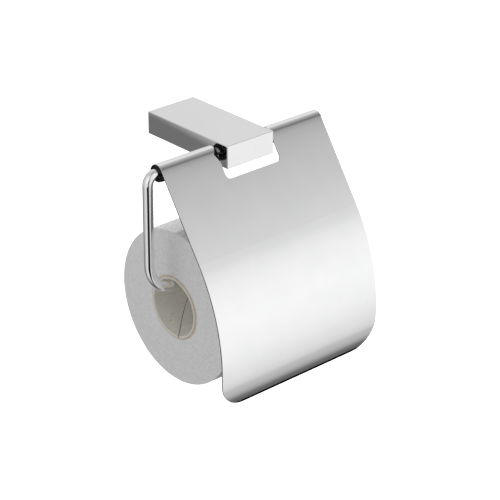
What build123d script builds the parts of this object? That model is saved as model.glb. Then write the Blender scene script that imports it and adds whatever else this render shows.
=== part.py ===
from build123d import *
import os
from math import cos, radians, sin

# Toilet paper holder with a hinged sheet cover, one named solid per physical piece.
# Millimetres.  The origin is the middle of the arm's back face, on the wall.
# +X is to the right when facing the wall, +Y points into the wall, +Z is up.

# ---- driving dimensions ----------------------------------------------------------
ARM_WIDTH = 40.0
ARM_HEIGHT = 16.0
ARM_LENGTH = 80.0
ARM_EDGE_RADIUS = 0.5

POCKET_WIDTH = 34.0
POCKET_HEIGHT = 10.0
POCKET_DEPTH = 16.0

PLATE_WIDTH = 33.4
PLATE_HEIGHT = 9.4
PLATE_THICKNESS = 3.0
WALL_SCREW_HOLE = 4.5
WALL_SCREW_SPACING = 22.0
TONGUE_WIDTH = 8.0
TONGUE_HEIGHT = 6.0
TONGUE_LENGTH = 9.0

ROD_DIAMETER = 7.0
HINGE_Y = -68.4
LEG_X = -76.8
TOP_BEND = 6.4
LOWER_BEND = 22.0
LOWER_BAR_Z = -84.2
LOWER_BAR_END = 60.0
TOP_BAR_END = 66.0
ROD_CHAMFER = 0.8
BORE_CLEARANCE = 0.05

COVER_HALF_WIDTH = 69.5
SHEET = 1.0
CURL_RADIUS = 6.0
CURL_WRAP = 232.0
COVER_SLOPE = 34.2
COVER_STRAIGHT = 64.0
COVER_BOW_RADIUS = 128.0
COVER_BOW_ANGLE = 46.5
COVER_BOTTOM_Z = -147.3
COVER_CORNER = 20.5
COVER_EDGE_RADIUS = 0.2
NOTCH_EDGE_RADIUS = 0.15
NOTCH_HALF_WIDTH = 23.5
NOTCH_DEPTH = 19.2
NOTCH_CORNER = 3.5
RELIEF_TOP = -3.2
RELIEF_TIP = 1.0
RELIEF_BOTTOM = 7.5
RELIEF_HALF_WIDTH = 26.4
RELIEF_ROUNDING = 0.8

BUSH_BARREL = 12.0
OUTER_FLANGE = 0.5
INNER_FLANGE = 0.9
BUSH_FLANGE_RADIUS = 5.5
BUSH_SLIT = 0.7
BUSH_SLIT_ANGLE = 172.0
END_CAP_GAP = 0.3
LOBE_NEAR = Vector(0, -2.4, -3.4)
LOBE_FAR = Vector(0, -5.5, -2.2)
LOBE_NEAR_RADIUS = 1.9
LOBE_FAR_RADIUS = 1.6

PAPER_RADIUS = 54.3
PAPER_WIDTH = 100.0
PAPER_LEFT = -55.4
PAPER_DOME = 1.0
PAPER_EDGE_RADIUS = 0.5
CORE_BORE_RADIUS = 19.95
INNER_PLY = 1.25
OUTER_PLY = 1.1
INNER_PLY_PROUD = 0.5
OUTER_PLY_PROUD = 0.1
ROLL_AXIS_Z = -100.2

GRUB_DIAMETER = 4.0
GRUB_HEX = 2.0
GRUB_HEX_DEPTH = 1.8
GRUB_CHAMFER = 0.4
GRUB_RECESS = 0.4

# ---- values that follow from them ------------------------------------------------
ROD_RADIUS = ROD_DIAMETER / 2
BORE_RADIUS = ROD_RADIUS + BORE_CLEARANCE
CURL_INSIDE = CURL_RADIUS - SHEET
HINGE = Vector(0, HINGE_Y, 0)
GRUB_Y = -(PLATE_THICKNESS + TONGUE_LENGTH / 2)
DOWN_SLOPE = Vector(0, -sin(radians(COVER_SLOPE)), -cos(radians(COVER_SLOPE)))
OUTWARD = Vector(0, -cos(radians(COVER_SLOPE)), sin(radians(COVER_SLOPE)))


def x_cylinder(radius, x_from, x_to, y, z):
    """Solid cylinder along X."""
    plane = Plane(origin=(x_from, y, z), x_dir=(0, 1, 0), z_dir=(1, 0, 0))
    return extrude(plane * Circle(radius), amount=x_to - x_from)


def z_cylinder(radius, z_from, z_to, x, y):
    """Solid cylinder along Z."""
    return extrude(Plane(origin=(x, y, z_from)) * Circle(radius), amount=z_to - z_from)


def block(x_size, y_from, y_to, z_size):
    """Box centred on X and Z, between two Y values."""
    return Pos(0, (y_from + y_to) / 2, 0) * Box(x_size, y_to - y_from, z_size)


# ---- wall side -------------------------------------------------------------------
def mounting_arm():
    """Cast block with a pocket for the wall bracket and a cross bore for the rod."""
    body = block(ARM_WIDTH, -ARM_LENGTH, 0, ARM_HEIGHT)
    front_and_long = body.edges().filter_by(lambda e: e.center().Y < -0.001)
    body = fillet(front_and_long, ARM_EDGE_RADIUS)
    body -= block(POCKET_WIDTH, -POCKET_DEPTH, 0, POCKET_HEIGHT)
    half = ARM_WIDTH / 2
    body -= x_cylinder(BORE_RADIUS, -half, half, HINGE_Y, 0)
    for y, top in ((GRUB_Y, -POCKET_HEIGHT / 2), (HINGE_Y, 0)):
        body -= z_cylinder(GRUB_DIAMETER / 2, -ARM_HEIGHT / 2, top, 0, y)
    return body


def wall_bracket():
    """Plate for two wall screws, with a tongue that the arm is clamped to."""
    plate = block(PLATE_WIDTH, -PLATE_THICKNESS, 0, PLATE_HEIGHT)
    tongue_end = -(PLATE_THICKNESS + TONGUE_LENGTH)
    tongue = block(TONGUE_WIDTH, tongue_end, -PLATE_THICKNESS, TONGUE_HEIGHT)
    body = plate + tongue
    for side in (-1, 1):
        hole = Plane(origin=(side * WALL_SCREW_SPACING / 2, 0, 0), z_dir=(0, -1, 0))
        body -= extrude(hole * Circle(WALL_SCREW_HOLE / 2), amount=PLATE_THICKNESS)
    seat = GRUB_DIAMETER / 2
    seat_plane = Plane(origin=(0, GRUB_Y, -TONGUE_HEIGHT / 2))
    body -= extrude(seat_plane * Circle(seat), amount=GRUB_CHAMFER)
    return body


def grub_screw(y, tip_z):
    """Socket set screw that stands in the underside of the arm, tip upwards."""
    head_z = -ARM_HEIGHT / 2 + GRUB_RECESS
    body = z_cylinder(GRUB_DIAMETER / 2 - BORE_CLEARANCE, head_z, tip_z, 0, y)
    body = chamfer(body.edges().filter_by(GeomType.CIRCLE), GRUB_CHAMFER)
    socket = Plane(origin=(0, y, head_z)) * RegularPolygon(GRUB_HEX / 2, 6, major_radius=False)
    return body - extrude(socket, amount=GRUB_HEX_DEPTH)


# ---- bent rod --------------------------------------------------------------------
def wire_hanger():
    """One round rod: hinge bar, bend, leg, wide bend and the bar that carries the roll."""
    top_start = Vector(TOP_BAR_END, HINGE_Y, 0)
    corner_top = Vector(LEG_X, HINGE_Y, 0)
    corner_low = Vector(LEG_X, HINGE_Y, LOWER_BAR_Z)
    low_end = Vector(LOWER_BAR_END, HINGE_Y, LOWER_BAR_Z)
    route = FilletPolyline(top_start, corner_top, corner_low, low_end, radius=[TOP_BEND, LOWER_BEND])
    section = Plane(origin=top_start, z_dir=(-1, 0, 0)) * Circle(ROD_RADIUS)
    body = sweep(section, path=route)
    ends = [e for e in body.edges().filter_by(GeomType.CIRCLE)
            if abs(e.center().X - TOP_BAR_END) < 0.01 or abs(e.center().X - LOWER_BAR_END) < 0.01]
    return chamfer(ends, ROD_CHAMFER)


# ---- cover -----------------------------------------------------------------------
def on_curl(radius, turn):
    """Point of the curl, turn degrees on from where the straight part leaves it."""
    angle = radians(180 - COVER_SLOPE - turn)
    return HINGE + Vector(0, radius * cos(angle), radius * sin(angle))


def on_bow(radius, turn):
    """Point of the bowed part, turn degrees on from the end of the straight part."""
    centre = HINGE + OUTWARD * (CURL_RADIUS - COVER_BOW_RADIUS) + DOWN_SLOPE * COVER_STRAIGHT
    angle = radians(180 - COVER_SLOPE + turn)
    return centre + Vector(0, radius * cos(angle), radius * sin(angle))


def sheet_profile():
    """Side view of the sheet: curl, straight run and bow, with its thickness."""
    inner_bow = COVER_BOW_RADIUS - SHEET
    bow_turns = (0, COVER_BOW_ANGLE / 2, COVER_BOW_ANGLE)
    outer = [
        ThreePointArc(*(on_curl(CURL_RADIUS, turn) for turn in (CURL_WRAP, CURL_WRAP / 2, 0))),
        Line(on_curl(CURL_RADIUS, 0), on_bow(COVER_BOW_RADIUS, 0)),
        ThreePointArc(*(on_bow(COVER_BOW_RADIUS, turn) for turn in bow_turns)),
    ]
    inner = [
        ThreePointArc(*(on_bow(inner_bow, turn) for turn in reversed(bow_turns))),
        Line(on_bow(inner_bow, 0), on_curl(CURL_INSIDE, 0)),
        ThreePointArc(*(on_curl(CURL_INSIDE, turn) for turn in (0, CURL_WRAP / 2, CURL_WRAP))),
    ]
    lip = Line(on_bow(COVER_BOW_RADIUS, COVER_BOW_ANGLE), on_bow(inner_bow, COVER_BOW_ANGLE))
    curl_end = Line(on_curl(CURL_INSIDE, CURL_WRAP), on_curl(CURL_RADIUS, CURL_WRAP))
    return make_face(outer + [lip] + inner + [curl_end])


def notch_outline():
    """Notch round the arm, seen square to the sheet, with a pointed relief at each end of the bend."""
    reach = NOTCH_DEPTH + 4 * CURL_RADIUS
    middle = reach / 2 - NOTCH_DEPTH
    outline = Pos(0, middle) * RectangleRounded(2 * NOTCH_HALF_WIDTH, reach, NOTCH_CORNER)
    for side in (-1, 1):
        relief = Polygon(
            (side * NOTCH_HALF_WIDTH, -RELIEF_TOP),
            (side * RELIEF_HALF_WIDTH, -RELIEF_TIP),
            (side * NOTCH_HALF_WIDTH, -RELIEF_BOTTOM),
            align=None,
        )
        outline += relief
    relief_corners = [v for v in outline.vertices() if -RELIEF_BOTTOM - 1 < v.Y < -RELIEF_TOP + 1]
    return fillet(relief_corners, RELIEF_ROUNDING)


def notch_cutter():
    """Block that opens the sheet and parts the curl round the arm."""
    plane = Plane(origin=HINGE - OUTWARD * 2 * CURL_RADIUS, x_dir=(1, 0, 0), z_dir=OUTWARD)
    return extrude(plane * notch_outline(), amount=4 * CURL_RADIUS)


def front_outline():
    """Block with the cover's front outline, which rounds the lower corners."""
    top_z = 2 * COVER_CORNER
    middle_z = (top_z + COVER_BOTTOM_Z) / 2
    plane = Plane(origin=(0, HINGE_Y, middle_z), x_dir=(1, 0, 0), z_dir=(0, -1, 0))
    outline = RectangleRounded(2 * COVER_HALF_WIDTH, top_z - COVER_BOTTOM_Z, COVER_CORNER)
    return extrude(plane * outline, amount=COVER_BOW_RADIUS, both=True)


def distance_down(edge):
    """How far down the sheet the middle of an edge is, from the bend at the curl."""
    return (edge.center() - HINGE).dot(DOWN_SLOPE)


def is_cut_edge(edge):
    """True for the sheet's cut edges, false where two smooth faces join and across its thickness."""
    down = distance_down(edge)
    at_bend = min(abs(down), abs(down - COVER_STRAIGHT)) < 0.01
    joins_smoothly = at_bend and abs(edge.tangent_at(0.5).X) > 0.99
    return edge.length > 1.5 * SHEET and not joins_smoothly


def is_notch_edge(edge):
    """True for the cut edges of the notch below its reliefs."""
    beside_arm = abs(edge.center().X) < RELIEF_HALF_WIDTH
    below_relief = RELIEF_BOTTOM < distance_down(edge) < NOTCH_DEPTH + SHEET
    return is_cut_edge(edge) and beside_arm and below_relief


def roll_cover():
    """Bent sheet with two hinge curls, a notch for the arm and rounded lower corners."""
    body = extrude(sheet_profile(), amount=COVER_HALF_WIDTH, both=True) & front_outline()
    body = fillet(body.edges().filter_by(is_cut_edge), COVER_EDGE_RADIUS)
    body -= notch_cutter()
    return fillet(body.edges().filter_by(is_notch_edge), NOTCH_EDGE_RADIUS)


def lobe_outline():
    """Rounded lug below the slit, which fills the wedge between curl and sheet."""
    near = Pos(LOBE_NEAR.Y, LOBE_NEAR.Z) * Circle(LOBE_NEAR_RADIUS)
    far = Pos(LOBE_FAR.Y, LOBE_FAR.Z) * Circle(LOBE_FAR_RADIUS)
    return make_hull((near + far).edges())


def hinge_bush(side, outer_end):
    """Split plastic liner of a curl, with a thin flange and a rounded lobe."""
    if outer_end:
        face, inside = COVER_HALF_WIDTH, COVER_HALF_WIDTH - BUSH_BARREL
        rim = face + OUTER_FLANGE
    else:
        face, inside = NOTCH_HALF_WIDTH, NOTCH_HALF_WIDTH + BUSH_BARREL
        rim = face - INNER_FLANGE
    full_length = sorted((side * inside, side * rim))
    middle = Plane(origin=(full_length[0], HINGE_Y, 0), x_dir=(0, 1, 0), z_dir=(1, 0, 0))
    body = x_cylinder(CURL_INSIDE, *full_length, HINGE_Y, 0)
    body += x_cylinder(BUSH_FLANGE_RADIUS, *sorted((side * face, side * rim)), HINGE_Y, 0)
    body += extrude(middle * lobe_outline(), amount=full_length[1] - full_length[0])
    closed = outer_end and side > 0
    bore_end = TOP_BAR_END + END_CAP_GAP if closed else rim
    body -= x_cylinder(BORE_RADIUS, *sorted((side * inside, side * bore_end)), HINGE_Y, 0)
    slit = Pos(CURL_RADIUS / 2, 0) * Rectangle(CURL_RADIUS + 2, BUSH_SLIT)
    slit = middle * Rot(0, 0, BUSH_SLIT_ANGLE) * slit
    return body - extrude(slit, amount=full_length[1] - full_length[0])


# ---- toilet roll -----------------------------------------------------------------
def tube(outer, inner, x_from, x_to):
    """Plain tube on the roll's axis."""
    return (x_cylinder(outer, x_from, x_to, HINGE_Y, ROLL_AXIS_Z)
            - x_cylinder(inner, x_from, x_to, HINGE_Y, ROLL_AXIS_Z))


def paper_roll():
    """Wound paper, as one ring with slightly domed ends and softened outer edges."""
    bore = CORE_BORE_RADIUS + INNER_PLY + OUTER_PLY
    right = PAPER_LEFT + PAPER_WIDTH
    halfway = (bore + PAPER_RADIUS) / 2
    bulge = PAPER_DOME * 0.7
    section = Wire([
        Line((PAPER_LEFT - PAPER_DOME, 0, bore), (right + PAPER_DOME, 0, bore)),
        ThreePointArc((right + PAPER_DOME, 0, bore), (right + bulge, 0, halfway), (right, 0, PAPER_RADIUS)),
        Line((right, 0, PAPER_RADIUS), (PAPER_LEFT, 0, PAPER_RADIUS)),
        ThreePointArc((PAPER_LEFT, 0, PAPER_RADIUS), (PAPER_LEFT - bulge, 0, halfway),
                      (PAPER_LEFT - PAPER_DOME, 0, bore)),
    ])
    body = revolve(Face(section), Axis.X, 360)
    rims = [e for e in body.edges().filter_by(GeomType.CIRCLE) if e.radius > PAPER_RADIUS - 1]
    return Pos(0, HINGE_Y, ROLL_AXIS_Z) * fillet(rims, PAPER_EDGE_RADIUS)


def core_ply(inner, thickness, proud):
    """One of the core's two wound plies, which stands proud of the paper at both ends."""
    left = PAPER_LEFT - PAPER_DOME - proud
    right = PAPER_LEFT + PAPER_WIDTH + PAPER_DOME + proud
    return tube(inner + thickness, inner, left, right)


PARTS = {
    "mounting_arm": mounting_arm(),
    "wall_bracket": wall_bracket(),
    "bracket_grub_screw": grub_screw(GRUB_Y, -TONGUE_HEIGHT / 2),
    "rod_grub_screw": grub_screw(HINGE_Y, -ROD_RADIUS),
    "wire_hanger": wire_hanger(),
    "roll_cover": roll_cover(),
    "bush_left_outer": hinge_bush(-1, True),
    "bush_left_inner": hinge_bush(-1, False),
    "bush_right_inner": hinge_bush(1, False),
    "bush_right_outer": hinge_bush(1, True),
    "paper_roll": paper_roll(),
    "core_inner_ply": core_ply(CORE_BORE_RADIUS, INNER_PLY, INNER_PLY_PROUD),
    "core_outer_ply": core_ply(CORE_BORE_RADIUS + INNER_PLY, OUTER_PLY, OUTER_PLY_PROUD),
}

os.makedirs("parts", exist_ok=True)
for name, shape in PARTS.items():
    export_step(shape, f"parts/{name}.step")
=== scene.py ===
import math

import bpy
import numpy as np
from mathutils import Matrix, Vector


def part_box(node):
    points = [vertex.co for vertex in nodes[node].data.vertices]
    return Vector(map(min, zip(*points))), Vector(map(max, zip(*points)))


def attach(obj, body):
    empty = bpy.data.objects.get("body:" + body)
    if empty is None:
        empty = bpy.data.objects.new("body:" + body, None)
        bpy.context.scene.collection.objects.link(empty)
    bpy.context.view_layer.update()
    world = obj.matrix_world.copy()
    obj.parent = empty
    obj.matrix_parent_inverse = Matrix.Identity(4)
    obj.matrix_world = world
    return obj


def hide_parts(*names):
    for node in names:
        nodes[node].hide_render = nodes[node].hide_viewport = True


# Looks of a wall-mounted chrome toilet paper holder with a full roll.
# Metres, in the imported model's frame: +X right when facing the wall, +Y into it, +Z up.

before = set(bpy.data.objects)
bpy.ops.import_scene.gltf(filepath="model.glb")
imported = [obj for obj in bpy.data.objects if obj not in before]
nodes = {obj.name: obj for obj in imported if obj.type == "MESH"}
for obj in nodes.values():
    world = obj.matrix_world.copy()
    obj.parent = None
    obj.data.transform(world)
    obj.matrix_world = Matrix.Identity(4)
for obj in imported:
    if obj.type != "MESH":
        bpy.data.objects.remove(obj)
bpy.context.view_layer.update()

# ---- camera ----------------------------------------------------------------------
CAMERA_PLACE = Vector((-0.7727, -0.9319, 0.4956))
CAMERA_YAW = math.radians(42.208)
CAMERA_PITCH = math.radians(26.274)
CAMERA_ROLL = math.radians(-0.338)
CAMERA_LENS = 139.05
SENSOR = 36.0
CLIP_NEAR, CLIP_FAR = 0.01, 100

# ---- roll, measured on the frame ---------------------------------------------------
PAPER_LOW, PAPER_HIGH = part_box("paper_roll")
INNER_LOW, INNER_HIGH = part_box("core_inner_ply")
OUTER_LOW, OUTER_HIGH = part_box("core_outer_ply")
AXIS_Y = (PAPER_LOW.y + PAPER_HIGH.y) / 2
AXIS_Z = (PAPER_LOW.z + PAPER_HIGH.z) / 2
PAPER_RADIUS = (PAPER_HIGH.z - PAPER_LOW.z) / 2
WOUND_RADIUS = (OUTER_HIGH.z - OUTER_LOW.z) / 2
SEAM_RADIUS = (INNER_HIGH.z - INNER_LOW.z) / 2
CORE_BORE = min(math.hypot(v.co.y - AXIS_Y, v.co.z - AXIS_Z)
                for v in nodes["core_inner_ply"].data.vertices)

# ---- wound ends of the roll ----------------------------------------------------------
PAPER_DOME = 0.001          # how far the rim of an end lies behind its middle
DOME_POWER = 1.74
FACE_RINGS = 42
EDGE_ROUND = 0.0003         # rounding between an end and the outer sheet
EDGE_SHARE = 0.3            # share of that rounding left at its middle row
LIP_DEPTH = 0.002           # how far the bore's wall is carried in from an end
LAYER_DEPTH = 0.00006       # a layer lies this far behind the dome, give or take its drift,
LAYER_LEAST = 0.00001       # and never less than this
LAYER_MOST = 0.0003         # or more than this
LAYER_MEMORY = 0.72         # share of its drift that a ring hands on to the next one
LAYER_WAVE = 0.000022
LAYER_WAVES = 5
LAYER_STEP = 0.00002

# ---- embossed outer sheet of the roll ------------------------------------------------
DOTS_ALONG = 17
DOTS_ROUND = 132
STEPS_ALONG = 8             # mesh rows for each dot along the roll
STEPS_ROUND = 3             # mesh columns for each dot round the roll
DOT_DEPTH = 0.0003
SHALLOWEST_DOT = 0.7        # as a share of the depth
SHEET_INSET = 0.00003
SHEET_ROUGHNESS = 0.000012
SHEET_PILLOW = 0.00001
WRAP_LOW = PAPER_LOW.x + PAPER_DOME + EDGE_ROUND
WRAP_HIGH = PAPER_HIGH.x - PAPER_DOME - EDGE_ROUND
TAIL_ANGLE = math.radians(-52)
TAIL_STEP = 0.00012         # thickness of the sheet at its loose end
TAIL_OPEN = 0.12            # share of a mesh column over which the loose end drops
TAIL_WAVE = 0.0025          # unevenness of the loose end, in radians
TAIL_WAVE_STEP = 1.9
TAIL_JITTER = 0.001

# ---- seam of the core's inner ply ----------------------------------------------------
SEAM_START = math.radians(-103)
SEAM_PITCH = 0.1296
SEAM_GAP = 0.0006
SEAM_STEPS = 330
SEAM_TIP = 0.0004           # width at which the strip's pointed ends are cut off
SEAM_RAGGED = 0.00007
PLY_STEPS = 22

# ---- where a material changes ----------------------------------------------------------
CHROME_LEVEL = 0.92         # the tent shines brighter to make up for it
CUT_FACING = (0.25, 0.5)    # a sheet's cut edge faces along X by more than this
ROD_SHADE_REACH = (0.023, 0.024)  # painted shade on the rod beside the arm, up to this |x|,
ROD_SHADE_LOWEST = -0.02         # above this height
TISSUE_DARK = 0.86          # darkest mottling, as a share of the tissue's level
TISSUE_ALONG = 0.6          # how fast the mottling changes along the roll,
TISSUE_ACROSS = 0.55        # and across it, against its change from layer to layer
CURL_SHARE, CLOUD_SHARE, FLECK_SHARE = 0.45, 0.3, 0.25
DOT_SHADE_LEVEL = 0.5             # painted shade in a pressed dot, as a share of the tissue's level,
DOT_SHADE_SHARE = 0.4             # and how much of it is mixed in
DOT_SHADE_FADE = (0.5, 0.9)
DOT_SHADE_DEPTH = 0.0008         # painted shade of the pressed dots lies only this near to the outside
SLIT_FACING = 0.4           # a board's slit faces along X by more than this,
RIM_FACING = 0.9            # and its rim by more than this
GLUE_FILM = 0.0001
RIM_GREY = (0.66, 0.64, 0.60, 1)
BROWN = (0.30, 0.12, 0.06, 1)

# ---- light tent, seen only in reflections ------------------------------------------------
# Tones from 0 to 255, by the angle in the plane across the holder: 0 is straight out from
# the wall, 90 is up, and 180 and -180 are towards the wall.
TENT_WALL = [
    (-180, 228), (-168, 236), (-150, 228), (-130, 90), (-110, 70), (-62, 84), (-59, 95),
    (-57, 106), (-56, 124), (-55, 146), (-54, 161), (-52, 178), (-49, 187), (-48, 197),
    (-46, 211), (-41, 221), (-33, 232), (-25, 239), (-16, 243), (-5, 246), (6, 243),
    (17, 237), (25, 229), (30, 218), (35, 210)]
TENT_EDGE = [
    (35, 210), (36, 201), (37, 192.5), (37.5, 188), (38, 182), (38.35, 174), (38.5, 161),
    (38.6, 140), (39, 136)]
TENT_ROOF = [
    (39, 136), (48, 123), (57, 118), (67, 140), (77, 155), (86, 163), (96, 183), (105, 204),
    (115, 218), (125, 227), (134, 225), (144, 218), (153, 212), (163, 216), (172, 224),
    (180, 228)]
# The same on the left, by the compass angle from +X towards +Y, and on the right, by height.
TENT_LEFT = [
    (-180, 212), (-165, 216), (-150, 214), (-100, 204), (-90, 208), (-70, 214), (0, 205),
    (90, 170), (122, 108), (134, 108), (142, 150), (150, 176), (169, 194), (180, 212)]
TENT_RIGHT = [
    (-90, 15), (-50, 40), (-30, 130), (-12, 205), (10, 228), (40, 220), (65, 180), (90, 165)]

# A black slot in the floor: degrees below straight out, half its width, and its tone.
SLOT_BELOW = 85
SLOT_EDGE = (25.0, 25.4)
SLOT_TONE = 0.008

# A pale panel on the left, above a slanted edge.
PANEL_SLANT = 0.5
PANEL_EDGE = (42.2, 42.5)
PANEL_LIFT = 1.7
PANEL_TURN = 128
PANEL_REACH = (10, 18)

# A gap between two walls on the camera's side: wide and black low down, narrow and grey above.
# Its turn is in degrees from +X towards -Y.
GAP_TURN = 120
GAP_REACH = (-60, -34, 0, 11)       # half its width, by height
GAP_LOWER = (-19, -16)              # below this height it is
GAP_LOWER_TURN = 5                  # further round
GAP_LOWER_REACH = 11.5              # and wider by this on each side
GAP_BLUR = 2
GAP_DARKNESS = [(-18, -14, 0.98, 0.85), (14, 18, 0, -0.35), (40, 65, 0, -0.5)]

# How the left side fades with height, and where the sides meet: from, to, and the shares there.
LEFT_FADE_LOW = (-80, -50, 0.3, 1)
LEFT_FADE_HIGH = (-25, 20, 1, 1.3)
LEFT_BY_X = (0.25, 0.5, 1, 0)
LEFT_BY_HEIGHT = (40, 75, 1, 0)
RIGHT_BY_X = (0.66, 0.8, 0, 1)

# ---- floor and lamps -----------------------------------------------------------------
FLOOR_HALF = 9
FLOOR_HEIGHT = -0.75

ROLL_FACE = (-0.055, -0.07, -0.08)
# name, place, aim, size and watts
LAMPS = [
    ("top_light", (0.1, -0.3, 1.4), (0, -0.07, -0.08), 0.6, 2.2),
    ("wall_light", (-0.06, 0.12, 1.4), (-0.05, -0.07, -0.05), 0.1, 6.0),
    ("left_light", (-1.5, -0.27, 0.3), ROLL_FACE, 0.25, 0.34),
    ("left_fill", (-1.6, 0.3, -0.1), ROLL_FACE, 1.4, 1.45)]


# ---- small helpers -----------------------------------------------------------------
def linear(tone):
    """Linear light of a display tone from 0 to 255."""
    share = tone / 255
    return share / 12.92 if share <= 0.04045 else ((share + 0.055) / 1.055) ** 2.4


def grey(level, tint=(1.0, 1.0, 1.0)):
    return tuple(level * t for t in tint) + (1.0,)


class Tree:
    """Short calls that add nodes to a shader and wire them up."""

    def __init__(self, tree):
        self.tree = tree
        tree.nodes.clear()

    def add(self, kind, **settings):
        node = self.tree.nodes.new(kind)
        for name, value in settings.items():
            setattr(node, name, value)
        return node

    def put(self, socket, value):
        """Wire a socket to a socket, or set it to a constant."""
        if isinstance(value, bpy.types.NodeSocket):
            self.tree.links.new(value, socket)
        else:
            socket.default_value = value

    def place(self):
        return self.add("ShaderNodeTexCoord").outputs["Object"]

    def split(self, vector):
        node = self.add("ShaderNodeSeparateXYZ")
        self.put(node.inputs[0], vector)
        return node.outputs

    def facing_x(self):
        """How far the surface faces along X, to either side."""
        normal = self.add("ShaderNodeNewGeometry").outputs["Normal"]
        return self.math("ABSOLUTE", self.split(normal)[0])

    def math(self, operation, first, second=0.0, third=0.0):
        node = self.add("ShaderNodeMath", operation=operation)
        for socket, value in zip(node.inputs, (first, second, third)):
            self.put(socket, value)
        return node.outputs[0]

    def spread(self, value, low, high, to_low, to_high):
        """Carry low to high over to to_low to to_high, and hold the ends."""
        node = self.add("ShaderNodeMapRange", clamp=True)
        for name, number in zip(("Value", "From Min", "From Max", "To Min", "To Max"),
                                (value, low, high, to_low, to_high)):
            self.put(node.inputs[name], number)
        return node.outputs["Result"]

    def ramp(self, value, stops):
        """Grey from a list of (place, tone) stops."""
        low, high = stops[0][0], stops[-1][0]
        node = self.add("ShaderNodeValToRGB")
        self.put(node.inputs["Fac"], self.spread(value, low, high, 0, 1))
        elements = node.color_ramp.elements
        for index, (place, tone) in enumerate(stops):
            spot = (place - low) / (high - low)
            element = elements[index] if index < 2 else elements.new(spot)
            element.position = spot
            element.color = grey(linear(tone))
        return node.outputs["Color"]

    def mix(self, share, first, second, blend="MIX"):
        node = self.add("ShaderNodeMix", data_type="RGBA", blend_type=blend)
        self.put(node.inputs[0], share)
        colours = [s for s in node.inputs if s.type == "RGBA"]
        self.put(colours[0], first)
        self.put(colours[1], second)
        return next(s for s in node.outputs if s.type == "RGBA")

    def noise(self, vector, scale, detail=2.0, roughness=0.5, distortion=0.0):
        node = self.add("ShaderNodeTexNoise")
        self.put(node.inputs["Vector"], vector)
        node.inputs["Scale"].default_value = scale
        node.inputs["Detail"].default_value = detail
        node.inputs["Roughness"].default_value = roughness
        node.inputs["Distortion"].default_value = distortion
        return node.outputs["Fac"]

    def stretched(self, vector, scale, rotation=(0, 0, 0)):
        node = self.add("ShaderNodeMapping")
        self.put(node.inputs["Vector"], vector)
        node.inputs["Scale"].default_value = scale
        node.inputs["Rotation"].default_value = rotation
        return node.outputs["Vector"]

    def bump(self, height, distance, under=None):
        node = self.add("ShaderNodeBump")
        self.put(node.inputs["Height"], height)
        node.inputs["Distance"].default_value = distance
        node.inputs["Strength"].default_value = 1.0
        if under is not None:
            self.put(node.inputs["Normal"], under)
        return node.outputs["Normal"]


def new_material(name):
    material = bpy.data.materials.new(name)
    material.use_nodes = True
    tree = Tree(material.node_tree)
    shader = tree.add("ShaderNodeBsdfPrincipled")
    out = tree.add("ShaderNodeOutputMaterial")
    tree.put(out.inputs["Surface"], shader.outputs[0])
    return material, tree, shader


# ---- materials ---------------------------------------------------------------------
def chrome(name, roughness, wave, cut=None, painted_shade=None):
    """Bright chrome plate: slightly uneven gloss, hairline polish marks and a faint wave.

    The cut edges of a sheet can be duller, and a rod can be darkened beside the arm with
    painted shade.
    """
    material, tree, shader = new_material(name)
    place = tree.place()
    shader.inputs["Metallic"].default_value = 1.0
    cloud = tree.noise(place, scale=60, detail=3)
    marks = tree.noise(tree.stretched(place, (1, 40, 40)), scale=90, detail=2, roughness=0.6)
    tone = tree.mix(tree.spread(cloud, 0.35, 0.65, 0, 1),
                    grey(CHROME_LEVEL, (0.995, 0.998, 1.0)), grey(CHROME_LEVEL * 1.02))
    if cut is not None:
        tone = tree.mix(tree.spread(tree.facing_x(), *CUT_FACING, 0, 1), tone, grey(cut))
    if painted_shade is not None:
        # painted shade: the rod is darkened beside the arm, above a given height
        x, _, z = tree.split(place)
        beside = tree.spread(tree.math("ABSOLUTE", x), *ROD_SHADE_REACH, 1, 0)
        beside = tree.math("MULTIPLY", beside, tree.math("GREATER_THAN", z, ROD_SHADE_LOWEST))
        tone = tree.mix(beside, tone, grey(painted_shade))
    tree.put(shader.inputs["Base Color"], tone)
    gloss = tree.spread(cloud, 0.3, 0.7, roughness * 0.75, roughness * 1.25)
    scratched = tree.spread(marks, 0.62, 0.8, 0, roughness * 0.8)
    tree.put(shader.inputs["Roughness"], tree.math("ADD", gloss, scratched))
    soft = tree.noise(place, scale=35, detail=1)
    tree.put(shader.inputs["Normal"], tree.bump(soft, wave))
    return material


def zinc():
    """Zinc plate with a fine spangle."""
    material, tree, shader = new_material("zinc_plate")
    place = tree.place()
    shader.inputs["Metallic"].default_value = 1.0
    spangle = tree.add("ShaderNodeTexVoronoi")
    tree.put(spangle.inputs["Vector"], place)
    spangle.inputs["Scale"].default_value = 500
    cold = (0.97, 0.99, 1.0)
    tone = tree.mix(spangle.outputs["Color"], grey(0.50, cold), grey(0.62, cold))
    tree.put(shader.inputs["Base Color"], tone)
    cloud = tree.noise(place, scale=400, detail=3)
    tree.put(shader.inputs["Roughness"], tree.spread(cloud, 0.3, 0.7, 0.28, 0.45))
    grain = tree.noise(place, scale=1500, detail=2)
    tree.put(shader.inputs["Normal"], tree.bump(grain, 0.00002))
    return material


def black_oxide():
    """Blackened steel of the set screws."""
    material, tree, shader = new_material("black_oxide")
    place = tree.place()
    shader.inputs["Metallic"].default_value = 1.0
    blotch = tree.noise(place, scale=900, detail=3)
    tone = tree.mix(blotch, grey(0.035), grey(0.07, (1, 0.98, 0.95)))
    tree.put(shader.inputs["Base Color"], tone)
    tree.put(shader.inputs["Roughness"], tree.spread(blotch, 0.3, 0.7, 0.3, 0.5))
    grain = tree.noise(place, scale=4000, detail=2)
    tree.put(shader.inputs["Normal"], tree.bump(grain, 0.00001))
    return material


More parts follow.
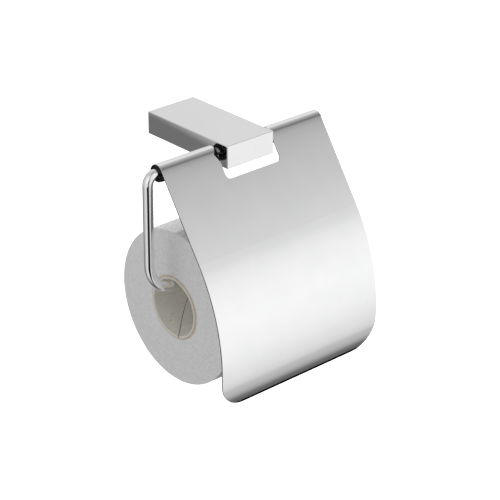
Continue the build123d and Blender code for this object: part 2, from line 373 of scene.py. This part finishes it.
def moulded_plastic():
    """Black plastic of the bushes, with the faint grain of its mould."""
    material, tree, shader = new_material("black_moulded_plastic")
    place = tree.place()
    cloud = tree.noise(place, scale=700, detail=3)
    tone = tree.mix(cloud, grey(0.003), grey(0.007, (1, 1, 1.05)))
    tree.put(shader.inputs["Base Color"], tone)
    tree.put(shader.inputs["Roughness"], tree.spread(cloud, 0.3, 0.7, 0.3, 0.42))
    shader.inputs["IOR"].default_value = 1.25
    grain = tree.noise(place, scale=1800, detail=2)
    tree.put(shader.inputs["Normal"], tree.bump(grain, 0.000003))
    return material


def from_axis(tree, place):
    """Distance from the roll's axis, and the three coordinates, as node sockets."""
    x, y, z = tree.split(place)
    out = tree.math("SUBTRACT", y, AXIS_Y)
    up = tree.math("SUBTRACT", z, AXIS_Z)
    squares = tree.math("MULTIPLY_ADD", out, out, tree.math("MULTIPLY", up, up))
    return tree.math("SQRT", squares), (x, y, z)


def painted_dot_shade(tree, radius, x, y, z):
    """Share of painted shade in the pressed dots of the outer sheet, where the mesh has them
    too.
    """
    angle = tree.math("ARCTAN2", tree.math("SUBTRACT", z, AXIS_Z),
                      tree.math("SUBTRACT", y, AXIS_Y))
    angle = tree.math("SUBTRACT", angle, TAIL_ANGLE)
    across = tree.math("COSINE", tree.math("MULTIPLY", angle, DOTS_ROUND / 2))
    pitch = (WRAP_HIGH - WRAP_LOW) / DOTS_ALONG
    along = tree.math("MULTIPLY", tree.math("SUBTRACT", x, WRAP_LOW), 2 * math.pi / pitch)
    dots = tree.math("MULTIPLY", across, tree.math("COSINE", along))
    dots = tree.spread(dots, *DOT_SHADE_FADE, 0, DOT_SHADE_SHARE)
    outside = tree.math("GREATER_THAN", radius, PAPER_RADIUS - DOT_SHADE_DEPTH)
    dots = tree.math("MULTIPLY", dots, outside)
    off_middle = tree.math("ABSOLUTE", tree.math("SUBTRACT", x, (WRAP_LOW + WRAP_HIGH) / 2))
    within = (WRAP_HIGH - WRAP_LOW) / 2 - pitch / 4
    return tree.math("MULTIPLY", dots, tree.math("LESS_THAN", off_middle, within))


def tissue(name, level):
    """Soft tissue: fibre mottling that follows the wound layers, painted shade in the pressed
    dots and a fine nap.
    """
    material, tree, shader = new_material(name)
    place = tree.place()
    radius, (x, y, z) = from_axis(tree, place)
    layered = tree.add("ShaderNodeCombineXYZ")
    tree.put(layered.inputs[0], tree.math("MULTIPLY_ADD", x, TISSUE_ALONG, radius))
    tree.put(layered.inputs[1], tree.math("MULTIPLY", y, TISSUE_ACROSS))
    tree.put(layered.inputs[2], tree.math("MULTIPLY", z, TISSUE_ACROSS))
    curl = tree.noise(layered.outputs[0], scale=620, detail=3, roughness=0.6, distortion=0.8)
    cloud = tree.noise(place, scale=700, detail=4, roughness=0.65)
    flecks = tree.noise(place, scale=3000, detail=2, roughness=0.7)
    shade = tree.math("MULTIPLY", cloud, CLOUD_SHARE)
    shade = tree.math("MULTIPLY_ADD", curl, CURL_SHARE, shade)
    shade = tree.math("MULTIPLY_ADD", flecks, FLECK_SHARE, shade)
    tone = tree.mix(tree.spread(shade, 0.41, 0.59, 0, 1),
                    grey(level * TISSUE_DARK, (0.998, 1.0, 1.0)), grey(level))
    # painted shade in the pressed dots, which the mesh also has
    tone = tree.mix(painted_dot_shade(tree, radius, x, y, z), tone, grey(level * DOT_SHADE_LEVEL))
    tree.put(shader.inputs["Base Color"], tone)
    shader.inputs["Roughness"].default_value = 0.95
    shader.inputs["IOR"].default_value = 1.3
    shader.inputs["Sheen Weight"].default_value = 0.08
    shader.inputs["Sheen Roughness"].default_value = 0.6
    nap = tree.bump(flecks, 0.00005)
    nap = tree.bump(cloud, 0.0001, under=nap)
    tree.put(shader.inputs["Normal"], tree.bump(curl, 0.00028, under=nap))
    return material


def board(name, light, dark, speck, rim=None, slit=None, glue=None):
    """Recycled board: fibres, blotches and a few faint specks.

    The inner ply has a rim and a brown slit, and the outer ply has glue under that slit.
    """
    material, tree, shader = new_material(name)
    place = tree.place()
    fibres = tree.noise(tree.stretched(place, (0.3, 1, 1), (0, 0, 0.7)),
                        scale=1300, detail=3, roughness=0.6)
    blotch = tree.noise(place, scale=160, detail=3)
    specks = tree.noise(place, scale=330, detail=1, roughness=0.4)
    darkest = tuple(0.86 * c for c in dark[:3]) + (1,)
    tone = tree.mix(tree.spread(blotch, 0.35, 0.65, 0, 1), dark, light)
    tone = tree.mix(tree.spread(fibres, 0.35, 0.7, 0.0, 0.5), tone, darkest)
    tone = tree.mix(tree.spread(specks, 0.66, 0.74, 0, 0.55), tone, speck)
    if rim is not None:
        facing = tree.facing_x()
        tone = tree.mix(tree.math("GREATER_THAN", facing, SLIT_FACING), tone, slit)
        tone = tree.mix(tree.math("GREATER_THAN", facing, RIM_FACING), tone, rim)
    if glue is not None:
        radius, _ = from_axis(tree, place)
        tone = tree.mix(tree.math("LESS_THAN", radius, SEAM_RADIUS + GLUE_FILM), tone, glue)
    tree.put(shader.inputs["Base Color"], tone)
    shader.inputs["Roughness"].default_value = 0.85
    tree.put(shader.inputs["Normal"], tree.bump(fibres, 0.00004))
    return material


# ---- mesh pieces of the roll -------------------------------------------------------
def mesh_piece(name, points, faces, material, sharp_angle=None):
    mesh = bpy.data.meshes.new(name)
    mesh.from_pydata(np.asarray(points).reshape(-1, 3).tolist(), [], faces)
    mesh.materials.append(material)
    mesh.polygons.foreach_set("use_smooth", [True] * len(mesh.polygons))
    if sharp_angle is not None:
        mesh.set_sharp_from_angle(angle=sharp_angle)
    mesh.update()
    piece = bpy.data.objects.new(name, mesh)
    bpy.context.scene.collection.objects.link(piece)
    return piece


def grid_faces(rows, columns, close_rows=False):
    """Quads of a grid that closes round its columns, and round its rows if asked."""
    faces = []
    for i in range(rows if close_rows else rows - 1):
        n = (i + 1) % rows
        for j in range(columns):
            k = (j + 1) % columns
            faces.append((i * columns + j, i * columns + k, n * columns + k, n * columns + j))
    return faces


def on_axis(x, radius, angle):
    """Points round the roll's axis."""
    x, radius, angle = np.broadcast_arrays(x, radius, angle)
    return np.stack([x, AXIS_Y + radius * np.cos(angle), AXIS_Z + radius * np.sin(angle)], -1)


def wavy(rng, angle, count, size):
    """A smooth closed wave round the roll."""
    wave = np.zeros_like(angle)
    for turns in range(1, count + 1):
        wave += rng.normal() / turns * np.cos(turns * angle + rng.uniform(0, 2 * np.pi))
    return size * wave


def wound_end(rng, side, face, skin, angle):
    """Rows of points from the bore to the edge of one end, over slightly uneven layers."""
    inner = np.full_like(angle, WOUND_RADIUS)
    rows = [on_axis(face - side * LIP_DEPTH, inner, angle)]
    drift = np.zeros_like(angle)
    for ring in np.linspace(0, 1, FACE_RINGS):
        radius = inner + (skin - EDGE_ROUND - inner) * ring
        wave = wavy(rng, angle, LAYER_WAVES, LAYER_WAVE)
        drift = LAYER_MEMORY * drift + wave + rng.normal() * LAYER_STEP
        dome = PAPER_DOME * ring ** DOME_POWER
        depth = dome + np.clip(LAYER_DEPTH + drift, LAYER_LEAST, LAYER_MOST)
        rows.append(on_axis(face - side * depth, radius, angle))
    depth = PAPER_DOME + EDGE_ROUND * EDGE_SHARE
    rows.append(on_axis(face - side * depth, skin - EDGE_ROUND * EDGE_SHARE, angle))
    return rows


def outer_sheet(rng, share, skin, angle, columns):
    """Rows of points along the outer sheet, with staggered rows of pressed dots."""
    rows = []
    steps = DOTS_ALONG * STEPS_ALONG
    pillow = np.cos(2 * np.pi * share * DOTS_ROUND)
    for i in range(steps + 1):
        radius = skin - SHEET_INSET + rng.normal(0, SHEET_ROUGHNESS, len(angle))
        swell = 1 + pillow * math.cos(2 * math.pi * i / STEPS_ALONG)
        radius = radius - SHEET_PILLOW * swell
        if i % (STEPS_ALONG // 2) == 0 and 0 < i < steps:
            start = 0 if i % STEPS_ALONG == 0 else STEPS_ROUND
            dots = slice(start, columns, 2 * STEPS_ROUND)
            radius[dots] -= DOT_DEPTH * rng.uniform(SHALLOWEST_DOT, 1.0, len(radius[dots]))
        nibble = np.zeros_like(angle)
        nibble[0] = TAIL_WAVE * math.sin(i * TAIL_WAVE_STEP) + rng.normal() * TAIL_JITTER
        nibble[-1] = nibble[0]
        x = WRAP_LOW + (WRAP_HIGH - WRAP_LOW) * i / steps
        rows.append(on_axis(x, radius, angle + nibble))
    return rows


def wound_paper(material):
    """The wound tissue: both ends, and the embossed outer sheet with its loose end."""
    rng = np.random.default_rng(11)
    columns = DOTS_ROUND * STEPS_ROUND
    share = np.arange(columns) / columns
    share = np.append(share, 1 - TAIL_OPEN / columns)
    angle = TAIL_ANGLE + 2 * np.pi * share
    # the outer sheet climbs by its own thickness in one turn, and drops back at its loose end
    skin = PAPER_RADIUS - TAIL_STEP * (1 - share)
    left = wound_end(rng, -1, PAPER_LOW.x, skin, angle)
    right = wound_end(rng, 1, PAPER_HIGH.x, skin, angle)
    wrap = outer_sheet(rng, share, skin, angle, columns)
    grid = np.array(left + wrap + right[::-1])
    faces = grid_faces(len(grid), len(angle), close_rows=True)
    return mesh_piece("wound_paper", grid, faces, material)


def inner_ply(material):
    """The core's grey inner ply: one strip of board wound in a helix, with an open seam."""
    rng = np.random.default_rng(5)
    low, high = INNER_LOW.x, INNER_HIGH.x
    gap = SEAM_GAP / 2
    first = -2 * math.pi * (1 - (gap + SEAM_TIP) / SEAM_PITCH)
    last = 2 * math.pi * (high - low - gap - SEAM_TIP) / SEAM_PITCH
    sections = []
    for turn in np.linspace(first, last, SEAM_STEPS):
        edge = low + SEAM_PITCH * turn / (2 * math.pi)
        ragged = rng.uniform(-SEAM_RAGGED, SEAM_RAGGED, 2)
        start = max(low, edge + gap + ragged[0])
        end = min(high, edge + SEAM_PITCH - gap + ragged[1])
        x = np.linspace(start, end, PLY_STEPS)
        angle = SEAM_START + turn
        inside = on_axis(x, CORE_BORE, angle)
        outside = on_axis(x[::-1], SEAM_RADIUS, angle)
        sections.append(np.concatenate([inside, outside]))
    grid = np.array(sections)
    count = 2 * PLY_STEPS
    faces = grid_faces(len(grid), count)
    faces.append(tuple(range(count))[::-1])
    faces.append(tuple((len(grid) - 1) * count + k for k in range(count)))
    return mesh_piece("core_wound_ply", grid, faces, material, sharp_angle=math.radians(40))


# ---- stage -------------------------------------------------------------------------
def make_floor():
    material, tree, shader = new_material("pale_floor")
    tone = tree.mix(tree.noise(tree.place(), scale=3, detail=2), grey(0.9), grey(0.92))
    tree.put(shader.inputs["Base Color"], tone)
    shader.inputs["Roughness"].default_value = 0.9
    shader.inputs["Emission Color"].default_value = (1, 1, 1, 1)
    shader.inputs["Emission Strength"].default_value = 1.0
    corners = [(x * FLOOR_HALF, y * FLOOR_HALF, FLOOR_HEIGHT)
               for x, y in ((-1, -1), (1, -1), (1, 1), (-1, 1))]
    floor = mesh_piece("floor", corners, [(0, 1, 2, 3)], material)
    floor.visible_glossy = False
    floor.visible_diffuse = False
    floor.visible_shadow = False


def tent_across(tree, around):
    """Tone of the tent in the plane across the holder, with the black slot below."""
    edge, roof = TENT_EDGE[0][0], TENT_ROOF[0][0]
    tone = tree.ramp(around, TENT_WALL)
    tone = tree.mix(tree.math("GREATER_THAN", around, edge), tone, tree.ramp(around, TENT_EDGE))
    tone = tree.mix(tree.math("GREATER_THAN", around, roof), tone, tree.ramp(around, TENT_ROOF))
    off_slot = tree.math("ABSOLUTE", tree.math("ADD", around, SLOT_BELOW))
    slot = tree.spread(off_slot, *SLOT_EDGE, SLOT_TONE, 1)
    return tree.mix(1.0, tone, slot, blend="MULTIPLY")


def tent_gap(tree, turn, up):
    """Share of light left in the gap on the camera's side."""
    lower = tree.spread(up, *GAP_LOWER, 1, 0)
    reach = tree.math("MULTIPLY_ADD", lower, GAP_LOWER_REACH, tree.spread(up, *GAP_REACH))
    centre = tree.math("MULTIPLY_ADD", lower, GAP_LOWER_TURN, GAP_TURN)
    off_centre = tree.math("ABSOLUTE", tree.math("ADD", turn, centre))
    inside = tree.math("SUBTRACT", off_centre, reach)
    inside = tree.spread(inside, -GAP_BLUR, GAP_BLUR, 1, 0)
    darkness = tree.spread(up, *GAP_DARKNESS[0])
    for change in GAP_DARKNESS[1:]:
        darkness = tree.math("ADD", darkness, tree.spread(up, *change))
    return tree.math("MULTIPLY_ADD", tree.math("MULTIPLY", inside, darkness), -1.0, 1.0)


def tent_left(tree, turn, up):
    """Tone of the tent on the left, with its pale panel and the gap on the camera's side."""
    slanted = tree.math("MULTIPLY_ADD", turn, PANEL_SLANT, up)
    panel = tree.spread(slanted, *PANEL_EDGE, 0, PANEL_LIFT)
    off_panel = tree.math("ABSOLUTE", tree.math("SUBTRACT", turn, PANEL_TURN))
    lift = tree.math("MULTIPLY_ADD", panel, tree.spread(off_panel, *PANEL_REACH, 1, 0), 1.0)
    fade = tree.math("MULTIPLY", tree.spread(up, *LEFT_FADE_LOW),
                     tree.spread(up, *LEFT_FADE_HIGH))
    fade = tree.math("MULTIPLY", fade, tent_gap(tree, turn, up))
    strength = tree.math("MULTIPLY", lift, fade)
    return tree.mix(1.0, tree.ramp(turn, TENT_LEFT), strength, blend="MULTIPLY")


def make_world():
    """A photographer's tent in the reflections, and plain white for the camera."""
    world = bpy.data.worlds.new("tent")
    bpy.context.scene.world = world
    world.use_nodes = True
    tree = Tree(world.node_tree)
    x, y, z = tree.split(tree.add("ShaderNodeTexCoord").outputs["Generated"])
    degrees = 180 / math.pi
    out = tree.math("MULTIPLY", y, -1)
    around = tree.math("MULTIPLY", tree.math("ARCTAN2", z, out), degrees)
    up = tree.math("MULTIPLY", tree.math("ARCSINE", z), degrees)
    turn = tree.math("MULTIPLY", tree.math("ARCTAN2", y, x), degrees)
    leftness = tree.math("MULTIPLY", tree.spread(x, *LEFT_BY_X),
                         tree.spread(up, *LEFT_BY_HEIGHT))
    level = tree.mix(leftness, tent_across(tree, around), tent_left(tree, turn, up))
    level = tree.mix(tree.spread(x, *RIGHT_BY_X), level, tree.ramp(up, TENT_RIGHT))
    glow = tree.add("ShaderNodeBackground")
    tree.put(glow.inputs["Color"], level)
    glow.inputs["Strength"].default_value = 1 / CHROME_LEVEL
    plain = tree.add("ShaderNodeBackground")
    plain.inputs["Color"].default_value = (1, 1, 1, 1)
    both = tree.add("ShaderNodeMixShader")
    tree.put(both.inputs[0], tree.add("ShaderNodeLightPath").outputs["Is Camera Ray"])
    tree.put(both.inputs[1], glow.outputs[0])
    tree.put(both.inputs[2], plain.outputs[0])
    shown = tree.add("ShaderNodeOutputWorld")
    tree.put(shown.inputs["Surface"], both.outputs[0])


def soft_light(name, place, aim, size, watts):
    """A round lamp that is not mirrored in the chrome."""
    data = bpy.data.lights.new(name, "AREA")
    data.shape = "DISK"
    data.size = size
    data.energy = watts
    lamp = bpy.data.objects.new(name, data)
    lamp.location = place
    towards = Vector(aim) - Vector(place)
    lamp.rotation_euler = towards.to_track_quat("-Z", "Y").to_euler()
    lamp.visible_glossy = False
    bpy.context.scene.collection.objects.link(lamp)


def make_camera():
    sy, cy = math.sin(CAMERA_YAW), math.cos(CAMERA_YAW)
    sp, cp = math.sin(CAMERA_PITCH), math.cos(CAMERA_PITCH)
    forward = Vector((sy * cp, cy * cp, -sp))
    right = Vector((cy, -sy, 0))
    down = forward.cross(right)
    cr, sr = math.cos(CAMERA_ROLL), math.sin(CAMERA_ROLL)
    right, down = right * cr + down * sr, down * cr - right * sr
    data = bpy.data.cameras.new("camera")
    data.lens = CAMERA_LENS
    data.sensor_width = SENSOR
    data.clip_start = CLIP_NEAR
    data.clip_end = CLIP_FAR
    camera = bpy.data.objects.new("camera", data)
    turn = Matrix((right, -down, -forward)).transposed().to_4x4()
    camera.matrix_world = Matrix.Translation(CAMERA_PLACE) @ turn
    bpy.context.scene.collection.objects.link(camera)
    bpy.context.scene.camera = camera


# ---- make everything ---------------------------------------------------------------
def set_material(node, material):
    mesh = nodes[node].data
    if not mesh.materials:
        mesh.materials.append(material)
    for index in range(len(mesh.materials)):
        mesh.materials[index] = material


set_material("mounting_arm", chrome("chrome_block", 0.012, 0.000003))
# the rod gets painted shade beside the arm
set_material("wire_hanger", chrome("chrome_rod", 0.010, 0.000003, painted_shade=0.22))
set_material("roll_cover", chrome("chrome_sheet", 0.008, 0.000004, cut=0.45))
plastic = moulded_plastic()
set_material("wall_bracket", zinc())
oxide = black_oxide()
for name in ("bracket_grub_screw", "rod_grub_screw"):
    set_material(name, oxide)
for name in nodes:
    if name.startswith("bush_"):
        set_material(name, plastic)

paper_white = tissue("tissue", 0.76)
grey_board = board("grey_board", (0.87, 0.85, 0.79, 1), (0.80, 0.78, 0.71, 1),
                   (0.50, 0.45, 0.33, 1), rim=RIM_GREY, slit=BROWN)
kraft_board = board("kraft_board", (0.64, 0.54, 0.40, 1), (0.58, 0.48, 0.34, 1),
                    (0.45, 0.33, 0.2, 1), glue=BROWN)
set_material("core_outer_ply", kraft_board)
for piece, node, slot in ((wound_paper(paper_white), "paper_roll", "tissue_paper"),
                          (inner_ply(grey_board), "core_inner_ply", "grey_board")):
    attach(piece, "roll")
    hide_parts(node)
set_material("paper_roll", paper_white)
set_material("core_inner_ply", grey_board)

make_camera()
make_world()
make_floor()
for lamp in LAMPS:
    soft_light(*lamp)

scene = bpy.context.scene
scene.view_settings.view_transform = "Standard"
scene.view_settings.look = "None"
scene.render.film_transparent = False
scene.cycles.use_denoising = True
